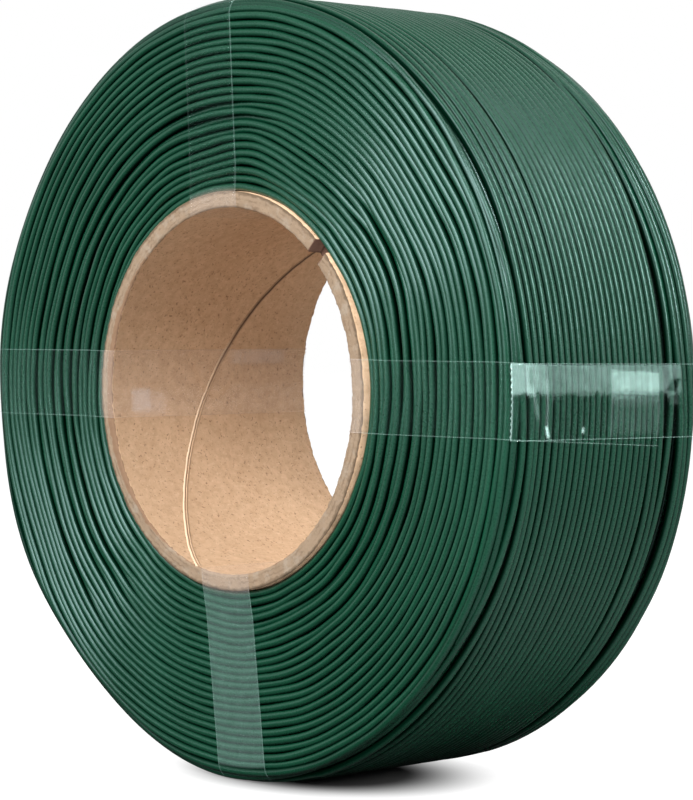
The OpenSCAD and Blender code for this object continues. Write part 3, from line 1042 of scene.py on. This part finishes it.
# ---------------------------------------------------------------- floor, camera and light
def make_floor():
    """White floor that keeps the coil's shadow where it stands."""
    half = 3000
    corners = [(-half, -half, FOOT_Z), (half, -half, FOOT_Z), (half, half, FOOT_Z),
               (-half, half, FOOT_Z)]
    obj = new_mesh("floor", corners, [[0, 1, 2, 3]], False)
    g = Graph("floor_white")
    g.put(g.shader, "Roughness", 0.9)
    g.put(g.shader, "Specular IOR Level", 0.0)
    path = g.add("LightPath")
    mirrored = g.math("MAXIMUM", path.outputs["Is Glossy Ray"], path.outputs["Is Transmission Ray"])
    # to the camera it is white but for the shadow right beside the foot
    place = g.add("TexCoord").outputs["Object"]
    from_foot = g.vector("SUBTRACT", place, (0.006, -0.004, 0.0))
    away = g.vector("LENGTH", g.vector("MULTIPLY", from_foot, (1.0, 1.2, 0.0)))
    whiten = g.remap(away, 0.018, 0.044, 0.0, 1.0, True)
    # reflections show it dimmer, darkest near and left of the coil as a painted shadow, and whiter
    # far away and at the right beside the coil, where it glows for reflections only
    far_white = g.remap(away, 0.25, 0.80, 0.0, 0.25, True)
    rightward, backward = g.add("SeparateXYZ", Vector=place).outputs[:2]
    beside = g.remap(g.math("ABSOLUTE", backward), 0.07, 0.12, 1.0, 0.0, True)
    beside = g.math("MULTIPLY", beside, g.remap(rightward, 0.045, 0.10, 0.0, 1.0, True))
    glow = g.math("MULTIPLY", path.outputs["Is Camera Ray"], whiten)
    far_white = g.math("MAXIMUM", far_white, g.math("MULTIPLY", beside, 0.16))
    glow = g.math("ADD", glow, g.math("MULTIPLY", mirrored, far_white))
    dim = g.remap(rightward, 0.04, 0.10, 0.06, 0.24, True)
    # it scatters little light, but more at the right, up to the barrel
    lit = g.math("ADD", g.math("MULTIPLY", beside, 0.80),
                 g.remap(rightward, 0.08, 0.25, 0.13, 0.19, True))
    g.put(g.shader, "Base Color", g.mix(mirrored, lit, dim))
    glow = g.add("Emission", Color=(1, 1, 1, 1), Strength=glow)
    both = g.add("AddShader", i0=g.shader.outputs[0], i1=glow.outputs[0])
    g.links.new(both.outputs[0], g.output.inputs["Surface"])
    obj.data.materials.append(g.material)


make_floor()


def put_in_place(obj, right, up, back, place):
    """Places a camera or lamp by its axes and its place in metres."""
    obj.matrix_world = Matrix([[right[i], up[i], back[i], place[i]] for i in range(3)]
                              + [[0, 0, 0, 1]])


def make_camera():
    """The camera at the photograph's place, found from the outlines of coil and core."""
    focal_px, photo_height_px = 2801.8, 800
    data = bpy.data.cameras.new("camera")
    data.sensor_fit = "VERTICAL"
    data.sensor_height = 24
    data.lens = focal_px / photo_height_px * data.sensor_height
    data.clip_start = 0.01
    data.clip_end = 50
    cam = add_object("camera", data)
    right = np.array((0.68352, 0.72993, 0.0002))
    up = np.array((-0.02264, 0.02093, 0.99952))
    put_in_place(cam, right, up, np.cross(right, up), (0.46363, -0.42773, 0.01692))
    bpy.context.scene.camera = cam


make_camera()


def soft_light(name, start, end, width, radiance, distance=1.3):
    """A soft box round the coil, as wide as given and long enough to reach from one direction
    to another, each as azimuth (0 is +X, -90 the front) and elevation."""
    ends = []
    for azimuth, elevation in (start, end):
        az, el = math.radians(azimuth), math.radians(elevation)
        ends.append(np.array((math.cos(el) * math.cos(az), math.cos(el) * math.sin(az),
                              math.sin(el))))
    back = ends[0] + ends[1]
    back /= np.linalg.norm(back)
    right = ends[1] - ends[0]
    half = np.linalg.norm(right) / 2
    right /= 2 * half
    up = np.cross(back, right)
    data = bpy.data.lights.new(name, "AREA")
    data.shape = "RECTANGLE"
    data.size, data.size_y = 2 * distance * half / math.sqrt(1 - half ** 2), width
    data.energy = radiance * math.pi * data.size * data.size_y
    put_in_place(add_object(name, data), right, up, back, distance * back)


# Two key lamps light the front face and, through the bore, its lower wall. The side lamp draws
# a bright line along each strand on the barrel, and the low and back lamps its broader sheen.
soft_light("key_low", (-115, 7), (-88, 30), 0.80, 6.3)
soft_light("key_high", (-88, 30), (-60, 46), 0.80, 16.2)
soft_light("left_light", (-160, 4), (-112, 4), 0.50, 0.45)
soft_light("side_light", (0, 14), (0, 58), 0.085, 82.0)
soft_light("low_light", (40, -1), (40, 11), 0.62, 2.3)
soft_light("back_light", (40, 60), (110, 64), 0.35, 4.5)


def make_world():
    """White to the camera, half as bright in reflections, and a weak fill for the rest."""
    world = bpy.data.worlds.new("studio")
    bpy.context.scene.world = world
    world.use_nodes = True
    nodes, links = world.node_tree.nodes, world.node_tree.links
    fill = nodes["Background"]
    fill.inputs["Color"].default_value = (1, 1, 1, 1)
    fill.inputs["Strength"].default_value = 0.07
    white = nodes.new("ShaderNodeBackground")
    white.inputs["Color"].default_value = (1, 1, 1, 1)
    white.inputs["Strength"].default_value = 1.0
    path = nodes.new("ShaderNodeLightPath")
    seen = path.outputs["Is Camera Ray"]
    for other in ("Is Glossy Ray", "Is Transmission Ray"):
        half = nodes.new("ShaderNodeMath")
        half.operation = "MULTIPLY"
        half.inputs[1].default_value = 0.5
        links.new(path.outputs[other], half.inputs[0])
        either = nodes.new("ShaderNodeMath")
        either.operation = "MAXIMUM"
        links.new(seen, either.inputs[0])
        links.new(half.outputs[0], either.inputs[1])
        seen = either.outputs[0]
    mix = nodes.new("ShaderNodeMixShader")
    links.new(seen, mix.inputs[0])
    links.new(fill.outputs[0], mix.inputs[1])
    links.new(white.outputs[0], mix.inputs[2])
    links.new(mix.outputs[0], nodes["World Output"].inputs["Surface"])


make_world()
bpy.context.scene.view_settings.view_transform = "Standard"
